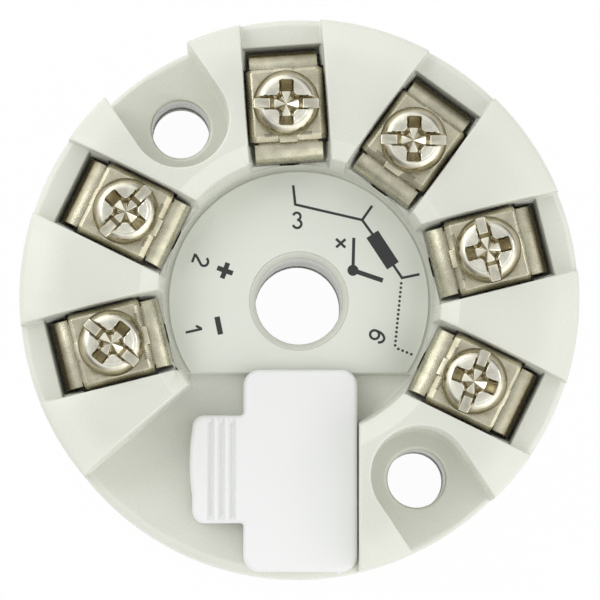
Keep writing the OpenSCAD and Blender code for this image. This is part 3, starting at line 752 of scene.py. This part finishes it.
# %% [markdown]
# ## The screws
# An M3 terminal screw is pressed cold from wire. Its pan head has a steep side, a rounded
# shoulder and a shallow dished top, with a slot and a cross recess pressed in together. The
# recess narrows on its way down and ends in a four-pointed star, so a screwdriver centres
# itself. The thread is a real helix here: the radius swings with height and with angle. The
# head is turned from its half section, and slot and recess are cut from it as the punch
# presses them, one after the other, with the narrow burrs rounded off.

# %% Screws
HEAD_TOP, HEAD_LOW = screw_top - 0.02, 16.44  # a touch lower than the frame's box
SHANK_LOW = box_mm("screw_1")[0][2]
HEAD_R, SHANK_R, PITCH, THREAD_DEPTH = 2.55, 1.45, 0.5, 0.2
BOWL_R, BOWL_DEEP, BOWL_RISE = 1.74, 0.15, 0.14
SHOULDER_AT, SHOULDER_R = 1.67, 0.70


def head_profile():
    """Half section of the head: a shallow bowl z = a r^2, part of a circle for the shoulder,
    a cone down from it, and an upright side."""
    r = np.linspace(0, BOWL_R, 14)
    bowl = np.column_stack([r, HEAD_TOP - BOWL_DEEP + BOWL_RISE * (r / BOWL_R) ** 2])
    a = np.linspace(0.12, 0.46, 8)
    shoulder = np.column_stack([SHOULDER_AT + SHOULDER_R * np.sin(a),
                                HEAD_TOP - SHOULDER_R + SHOULDER_R * np.cos(a)])
    side = [(2.12, HEAD_TOP - 0.19), (2.34, HEAD_TOP - 0.42),
            (HEAD_R - 0.05, HEAD_TOP - 0.70), (HEAD_R, HEAD_TOP - 0.95),
            (HEAD_R, HEAD_LOW + 0.12), (HEAD_R - 0.1, HEAD_LOW), (0.8, HEAD_LOW),
            (0, HEAD_LOW)]
    return np.vstack([bowl, shoulder, side])


def cross_ring(length, half, outer, inner, z, steps=6):
    """A cross with four arms: rounded tips, and fillets where the arms meet."""
    t = np.linspace(0, math.pi / 2, steps)
    low_tip = np.column_stack([length - outer + outer * np.sin(t),
                               -half + outer - outer * np.cos(t)])
    high_tip = np.column_stack([length - outer + outer * np.cos(t),
                                half - outer + outer * np.sin(t)])
    fillet = np.column_stack([half + inner - inner * np.sin(t),
                              half + inner - inner * np.cos(t)])
    arm = np.vstack([low_tip, high_tip, fillet])
    ring = []
    for k in range(4):
        a = k * math.pi / 2
        c, s = round(math.cos(a)), round(math.sin(a))
        ring.append(np.column_stack([arm[:, 0] * c - arm[:, 1] * s,
                                     arm[:, 0] * s + arm[:, 1] * c]))
    return level(np.vstack(ring), z)


def thread(low, high, radius, depth, pitch, steps=48):
    """A threaded rod: r = radius - depth (1 + cos 2 pi (z / pitch - a / 2 pi)) / 2, fading
    out at both ends."""
    z = np.arange(low, high, pitch / 10)[:, None]
    a = np.linspace(0, 2 * math.pi, steps, endpoint=False)[None, :]
    fade = np.clip(np.minimum((z - low) / 0.3, (high - z) / 0.5), 0, 1)
    wave = (1 + np.cos(2 * math.pi * (z / pitch - a / (2 * math.pi)))) / 2
    r = radius - depth * wave * fade - 0.25 * np.clip(1 - (z - low) / 0.3, 0, 1)
    return carried(np.stack([r * np.cos(a), r * np.sin(a), z + 0 * a], -1))

# %% The punch and the head
slot_cut = bar([(-0.37, HEAD_TOP - 0.77), (0.37, HEAD_TOP - 0.77),
                (0.52, HEAD_TOP + 0.2), (-0.52, HEAD_TOP + 0.2)], -3.0, 3.0)
# Length of an arm, half its width, the tip's radius, the fillet's, and the height
CROSS_ROWS = [(1.84, 0.60, 0.16, 0.42, 0.2), (1.74, 0.55, 0.16, 0.42, -0.05),
              (1.24, 0.44, 0.14, 0.38, -0.84), (0.94, 0.35, 0.14, 0.32, -1.16),
              (0.02, 0.008, 0.003, 0.006, -1.46)]
cross_cut = carried([cross_ring(*row[:4], HEAD_TOP + row[4]) for row in CROSS_ROWS])
head = make_mesh("head", [turned(head_profile(), 120)])
head = finished(head, [make_mesh("slot", [slot_cut]), make_mesh("cross", [cross_cut])],
                soft=0.045, segments=2, sharper_than=30)
shank = make_mesh("shank", [
    thread(SHANK_LOW, HEAD_LOW + 0.02, SHANK_R, THREAD_DEPTH, PITCH)])
screw = held_in(joined("screw", [head, shank]),
                (-HEAD_R, -HEAD_R, SHANK_LOW), (HEAD_R, HEAD_R, HEAD_TOP))
print("screw faces:", len(screw.polygons))

# %% [markdown]
# ## The clamp plates
# A clamp plate is stamped from sheet and folded into a shallow channel: its two flanges drop
# over the strip's waist and keep it from turning. It is carried from one side to the other,
# station by station, so that the rounded shoulders, the flanges and the small tab in the
# middle of each end come from how a few numbers change along the way.

# %% Clamp plates
PLATE_Z, PLATE_TOP, FLANGE_LOW = 15.52, 16.42, 14.82
PLATE_HALF_L, PLATE_HALF_W, FLANGE_T, PLATE_BORE_R = 2.89, 2.97, 0.6, 1.6


def plate_rings():
    """Rings in the X-Z plane at stations along Y. The inner end slopes gently down, except
    at the tab in its middle, where middle is 1, and the corners draw in by a quarter of a
    circle, z = top - r (1 - cos t) over y = side - r (1 - sin t)."""
    round_r, tab, tab_side = 0.55, 0.68, 0.07
    t = np.linspace(0, math.pi / 2, 7)
    shoulder = PLATE_HALF_W - round_r + round_r * np.sin(t)
    inner = PLATE_HALF_W - FLANGE_T
    y = np.concatenate([[tab, tab + tab_side, inner - 0.002, inner], shoulder])
    top = np.concatenate([np.full(4, PLATE_TOP), PLATE_TOP - round_r + round_r * np.cos(t)])
    low = np.where(y < inner - 0.001, PLATE_Z, FLANGE_LOW)
    middle = np.where(y < tab + 0.001, 1.0, 0.0)
    corner = np.concatenate([np.zeros(4), 0.24 * (1 - np.cos(t))])
    y, top, low, middle, corner = (np.concatenate([s * v[::-1], v]) for v, s in (
        (y, -1), (top, 1), (low, 1), (middle, 1), (corner, 1)))
    inner_x = -PLATE_HALF_L + 0.10 - 0.10 * middle + corner
    outer_x = PLATE_HALF_L - 0.06 + 0.06 * middle - corner
    drop = 0.30 - 0.20 * middle
    ring = [(inner_x + 0.12, low), (inner_x + 0.12, np.maximum(low, PLATE_Z + 0.02)),
            (inner_x, np.maximum(low, PLATE_Z) + 0.1), (inner_x, top - drop),
            (inner_x + 0.44, top - 0.02 * middle), (outer_x - 0.24, top),
            (outer_x, top - 0.16), (outer_x, np.maximum(low, PLATE_Z) + 0.1),
            (outer_x - 0.12, np.maximum(low, PLATE_Z + 0.02)), (outer_x - 0.12, low)]
    return np.stack([np.stack([x, y, z], -1) for x, z in ring], 1)


bore = make_mesh("bore", [rod(PLATE_BORE_R, PLATE_Z - 1, PLATE_TOP + 1)])
plate = finished(make_mesh("plate", [carried(plate_rings())]), [bore], soft=0.04,
                 sharper_than=20)

# %% [markdown]
# The press leaves its traces: two patches of short grip marks beside the tab, which keep the
# wire from slipping, and fine notches along both sides, where the sheet was torn off. They
# are cut in rather than painted on, so they catch the light from every side.

# %% Marks of the press
MARKS, MARK_STEP, MARK_Y, MARK_X, MARK_TURN = 6, 0.15, 1.38, (-2.42, -2.16), 14
NOTCH_X, NOTCH_STEP, NOTCH_OUT, NOTCH_IN = 2.4, 0.09, 0.03, -0.07
marks = []
for side in (-1, 1):
    for k in range(MARKS):
        y = side * MARK_Y + (k - (MARKS - 1) / 2) * MARK_STEP
        mark = bar([(y - 0.075, PLATE_TOP + 0.1), (y + 0.075, PLATE_TOP + 0.1),
                    (y + 0.02, PLATE_TOP - 0.14), (y - 0.02, PLATE_TOP - 0.14)], *MARK_X)
        marks.append((turn(mark[0], MARK_TURN * side, (-2.3, y)), mark[1]))
    x = np.arange(-NOTCH_X, NOTCH_X, NOTCH_STEP)
    wave = np.where(np.arange(len(x)) % 2, NOTCH_OUT, NOTCH_IN)
    teeth = np.column_stack([np.concatenate([x, x[::-1]]), side * np.concatenate(
        [PLATE_HALF_W + wave, np.full(len(x), PLATE_HALF_W + 0.2)])])
    marks.append(carried([level(teeth, FLANGE_LOW - 0.1), level(teeth, PLATE_TOP - 0.45)]))
plate = finished(plate, [make_mesh("marks", marks)])  # no bevel: they are finer than it
print("clamp plate faces:", len(plate.polygons))

# %% [markdown]
# ## The terminal strips
# Each strip is bent from 0.8 mm sheet: a bridge with a foot at either end, narrowed in the
# middle for the plate's flanges, with a threaded collar underneath and a leg that goes down
# through the circuit board. A line bent in the side view and carried across gives the sheet
# its even thickness all round the bends.

# %% Terminal strips
STRIP_IN, STRIP_OUT, STRIP_TOP, FOOT_Z = 10.601, 19.101, 15.5, 12.4
STRIP_T, BEND, STRIP_HALF_W, WAIST_HALF_W, WAIST_HALF_L = 0.8, 1.1, 2.64, 2.32, 2.85
WAIST_LOW, WAIST_OUT = 14.42, 3.68  # how low and how far out the waist's cutters reach
BELOW, OVER, LEG_HALF_W = 12, 17, 0.7  # heights below and over the bridge, and the leg
HOLE_R, COLLAR_R, COLLAR_Z = 1.5, 2.22, (13.9, 14.71)
SCREW_AT = (STRIP_IN + STRIP_OUT) / 2
LEG_LOW = box_mm("terminal_1")[0][2]


def strip_ring(y):
    """The bridge seen from the side: outer line over the top, inner line back."""
    t = np.linspace(0, math.pi / 2, 10)
    up = np.column_stack([-np.cos(t), np.sin(t)])
    down = np.column_stack([np.sin(t), np.cos(t)])
    bend_in = np.array([STRIP_IN + BEND, STRIP_TOP - BEND])
    bend_out = np.array([STRIP_OUT - BEND, STRIP_TOP - BEND])
    line = np.vstack([
        [(STRIP_IN, FOOT_Z)], bend_in + BEND * up, bend_out + BEND * down,
        [(STRIP_OUT, FOOT_Z), (STRIP_OUT - STRIP_T, FOOT_Z)],
        (bend_out + (BEND - STRIP_T) * down)[::-1], (bend_in + (BEND - STRIP_T) * up)[::-1],
        [(STRIP_IN + STRIP_T, FOOT_Z)]])
    return np.column_stack([line[:, 0], np.full(len(line), float(y)), line[:, 1]])


strip = make_mesh("strip", [
    carried([strip_ring(-STRIP_HALF_W), strip_ring(STRIP_HALF_W)])])
waist = make_mesh("waist", [
    block((SCREW_AT - WAIST_HALF_L, y[0], WAIST_LOW), (SCREW_AT + WAIST_HALF_L, y[1], OVER))
    for y in ((-WAIST_OUT, -WAIST_HALF_W), (WAIST_HALF_W, WAIST_OUT))])
hole = make_mesh("hole", [rod(HOLE_R, BELOW, OVER, at=(SCREW_AT, 0))])
strip = finished(strip, [waist, hole], soft=0.07, segments=3, sharper_than=30)
collar = turned([(HOLE_R, COLLAR_Z[0]), (COLLAR_R, COLLAR_Z[0]), (COLLAR_R, COLLAR_Z[1]),
                 (HOLE_R, COLLAR_Z[1])], 48, hollow=True)
extras = make_mesh("extras", [
    (collar[0] + [SCREW_AT, 0, 0], collar[1]),
    block((STRIP_IN, -LEG_HALF_W, LEG_LOW),
          (STRIP_IN + STRIP_T, LEG_HALF_W, FOOT_Z + 0.05))])
strip = joined("strip", [strip, extras])
print("strip faces:", len(strip.polygons))

# %% [markdown]
# ## Six terminals
# All six are alike, so each piece is made once and copied. The turn is worked into the copy's
# points. Only the strips have a material that follows their own length, so they get UV
# coordinates before they are turned. Each screw's slot stands as the driver left it.

# %% Copies in their places


def flat_uv(mesh, about):
    """UV coordinates that are simply X and Y in mm from a point, so a material can follow the
    piece's own length and breadth wherever it is turned."""
    uv = mesh.uv_layers.new(name="UVMap")
    corner = np.empty(len(mesh.loops), np.int32)
    mesh.loops.foreach_get("vertex_index", corner)
    flat = points_of(mesh)[corner, :2] / MM - np.asarray(about)
    uv.data.foreach_set("uv", flat.ravel().astype(np.float32))


def turned_copy(mesh, name, degrees, out=0.0):
    """A copy of a mesh moved out along X and then turned about the Z axis, in the mesh."""
    copy = mesh.copy()
    copy.name = name
    return with_points(copy, turn(points_of(mesh) / MM + [out, 0, 0], degrees) * MM)


flat_uv(strip, (SCREW_AT, 0))
for number, (angle, slot_angle) in enumerate(zip(TERMINAL_ANGLES, SLOT_ANGLES), 1):
    mesh = turned_copy(strip, "strip_%d" % number, angle)
    place("terminal_strip_%d" % number, smooth(mesh, 30), "base",
          strip_nickel, ["terminal_%d" % number])
    mesh = turned_copy(plate, "plate_%d" % number, angle, out=SCREW_AT)
    place("pressed_plate_%d" % number, smooth(mesh, 26), "clamp_%d" % number,
          clamp_nickel, ["clamp_plate_%d" % number])
    mesh = turned_copy(screw, "screw_%d" % number, slot_angle - angle)
    mesh = turned_copy(mesh, "screw_%d" % number, angle, out=SCREW_AT)
    place("pan_head_screw_%d" % number, smooth(mesh, 28), "screw_body_%d" % number,
          screw_nickel, ["screw_%d" % number])

# %% [markdown]
# ## The printed label
# The label shows how a sensor is wired: a resistor between terminals 3 and 6, a thermocouple,
# and the supply's two poles. It is screen printed, so each line is a ribbon of ink, a
# hundredth of a millimetre thick, with even width and square ends. An image would do for one
# view, but ribbons stay sharp at any distance and need no file.

# %% Ink strokes
INK_T, INK_SUNK = 0.012, 0.004  # how far ink stands over the film, and reaches into it


def stroke(points, width):
    """A ribbon of ink along a line. Its sides lie half a width along the normals, and at a
    bend the normal is the mean of both sides', lengthened by 1 / cos of half the bend."""
    p = np.asarray(points, float)
    step = np.diff(p, axis=0)
    step /= np.linalg.norm(step, axis=1)[:, None]
    normal = left_of(step)
    normal = np.vstack([normal[:1], normal[:-1] + normal[1:], normal[-1:]])
    normal /= np.linalg.norm(normal, axis=1)[:, None]
    cosine = np.einsum("ij,ij->i", left_of(np.vstack([step[:1], step])), normal)
    reach = 1 / np.maximum(np.abs(cosine), 0.4)
    side = normal * reach[:, None] * width / 2
    low, high = label_z - INK_SUNK, label_z + INK_T
    return carried(np.stack([
        level(p + side, low), level(p - side, low), level(p - side, high),
        level(p + side, high)], 1))


def arc(middle, radii, start, end, steps=14):
    """Points on a piece of an ellipse, from one angle to another in degrees."""
    a = np.radians(np.linspace(start, end, steps))
    return np.column_stack([middle[0] + radii[0] * np.cos(a),
                            middle[1] + radii[1] * np.sin(a)])


def disc_of_ink(at, radius):
    """A round dot."""
    ring = arc(at, (radius, radius), 0, 360, 25)[:-1]
    return carried([level(ring, label_z - INK_SUNK), level(ring, label_z + INK_T)])


DIGITS = {
    1: [[(0.02, 0.56), (0.02, -0.56)], [(-0.27, 0.20), (0.0, 0.52)]],
    2: [np.vstack([arc((0, 0.23), (0.28, 0.27), 165, -25),
                   [(-0.08, -0.25), (-0.26, -0.48)]]), [(-0.30, -0.50), (0.30, -0.50)]],
    3: [arc((-0.02, 0.25), (0.24, 0.25), 165, -85),
        arc((0, -0.25), (0.28, 0.27), 88, -165)],
    6: [arc((0, -0.20), (0.29, 0.30), 0, 360, 28),
        arc((0.06, 0.0), (0.35, 0.50), 195, 25, 20)]}


def digit(number, at, size, degrees, width):
    """A digit drawn by its strokes, as tall as size, turned and moved to its place."""
    strokes = []
    for line in DIGITS[number]:
        flat = np.column_stack([np.asarray(line, float) * size, np.zeros(len(line))])
        strokes.append(stroke(turn(flat, degrees)[:, :2] + at, width))
    return strokes

# %% [markdown]
# The film disc is drawn in a little at its rim, so the dark joint round it shows, and reaches
# a little further to the centre hole, as a punched film does that lies over a raised edge.

# %% The film
RIM_OUT, RIM_IN, RIM_W = -0.24, -0.10, 0.06  # how far the rims move from the axis, in mm
label = softened("connection_label", 0.03)
co = points_of(label)
r = np.hypot(co[:, 0], co[:, 1])
grow = np.where(r > r.max() - RIM_W * MM, RIM_OUT,
                np.where(r < r.min() + RIM_W * MM, RIM_IN, 0))
co[:, :2] *= (1 + grow * MM / r)[:, None]
place("label_film_disc", smooth(with_points(label, co), 40), "base", label_film,
      ["connection_label"])

# %% [markdown]
# The signs are drawn stroke by stroke, in millimetres from the axis: sensor lines, resistor,
# thermocouple with its dot and cross, the two poles, a dotted line, and four plain numbers.
# Where strokes cross, their upper faces would lie in one plane and flicker, so booleans weld
# them all into one skin.

# %% The print
THIN, THICK, DOT_R, DIGIT_H, DIGIT_W = 0.20, 0.36, 0.105, 1.17, 0.19
PLUS_AT, PLUS_HALF = np.array([-5.73, 2.36]), 0.64
ink = [stroke([(-0.44, 9.01), (-0.28, 7.51), (4.92, 6.31), (5.78, 5.12)], THIN),
       stroke([(4.92, 6.31), (5.70, 7.42)], THIN),
       stroke([(5.70, 5.20), (7.31, 2.75)], 1.08),
       stroke([(7.12, 3.12), (8.01, 1.80), (9.37, 2.09)], THIN),
       stroke([(4.20, 2.39), (4.27, 4.92)], 0.24), disc_of_ink((4.20, 2.39), 0.43),
       stroke([(4.20, 2.39), (6.52, 1.60)], THICK),
       stroke([(2.89, 4.84), (3.61, 4.16)], THIN), stroke([(2.90, 4.18), (3.62, 4.81)], THIN),
       stroke([(-6.35, -1.23), (-6.07, -2.60)], 0.42)]
for angle in np.radians((-20, 70)):
    arm = PLUS_HALF * np.array([math.cos(angle), math.sin(angle)])
    ink.append(stroke([PLUS_AT - arm, PLUS_AT + arm], 0.38))
dots = np.vstack([np.linspace((7.95, 1.38), (7.47, -3.44), 15),
                  np.linspace((7.72, -3.72), (8.72, -4.13), 4)])
ink += [disc_of_ink(dot, DOT_R) for dot in dots]
for number, at, degrees in ((3, (-0.13, 6.29), 0), (6, (6.09, -2.71), -115),
                            (1, (-8.14, -2.29), -77), (2, (-7.61, 3.14), -110)):
    ink += digit(number, np.array(at), DIGIT_H, degrees, DIGIT_W)
ink = [make_mesh("ink", [solid]) for solid in ink]
welded = finished(ink[0], ink[1:], how="UNION")
place("label_print", welded, "base", ink_black)
print("ink strokes:", len(ink))

# %% [markdown]
# ## What keeps the frame's shape
# The board, the port's contacts and the small parts are boxes on the real object too, and
# hardly show. They stay as the frame has them and only get their finishes.

# %% Finishes for the pieces that keep the frame's shape
for name, material in (("circuit_board", board_green), ("port_contacts", gold),
                       ("resistors", chip_plastic), ("capacitors", ceramic)):
    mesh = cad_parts[name].data
    mesh.materials.clear()
    mesh.materials.append(material)
    print(name, "is now", material.name)

# %% [markdown]
# ## The end
# The plain Standard view shows a colour as it was written.

# %% View
bpy.context.scene.view_settings.view_transform = "Standard"
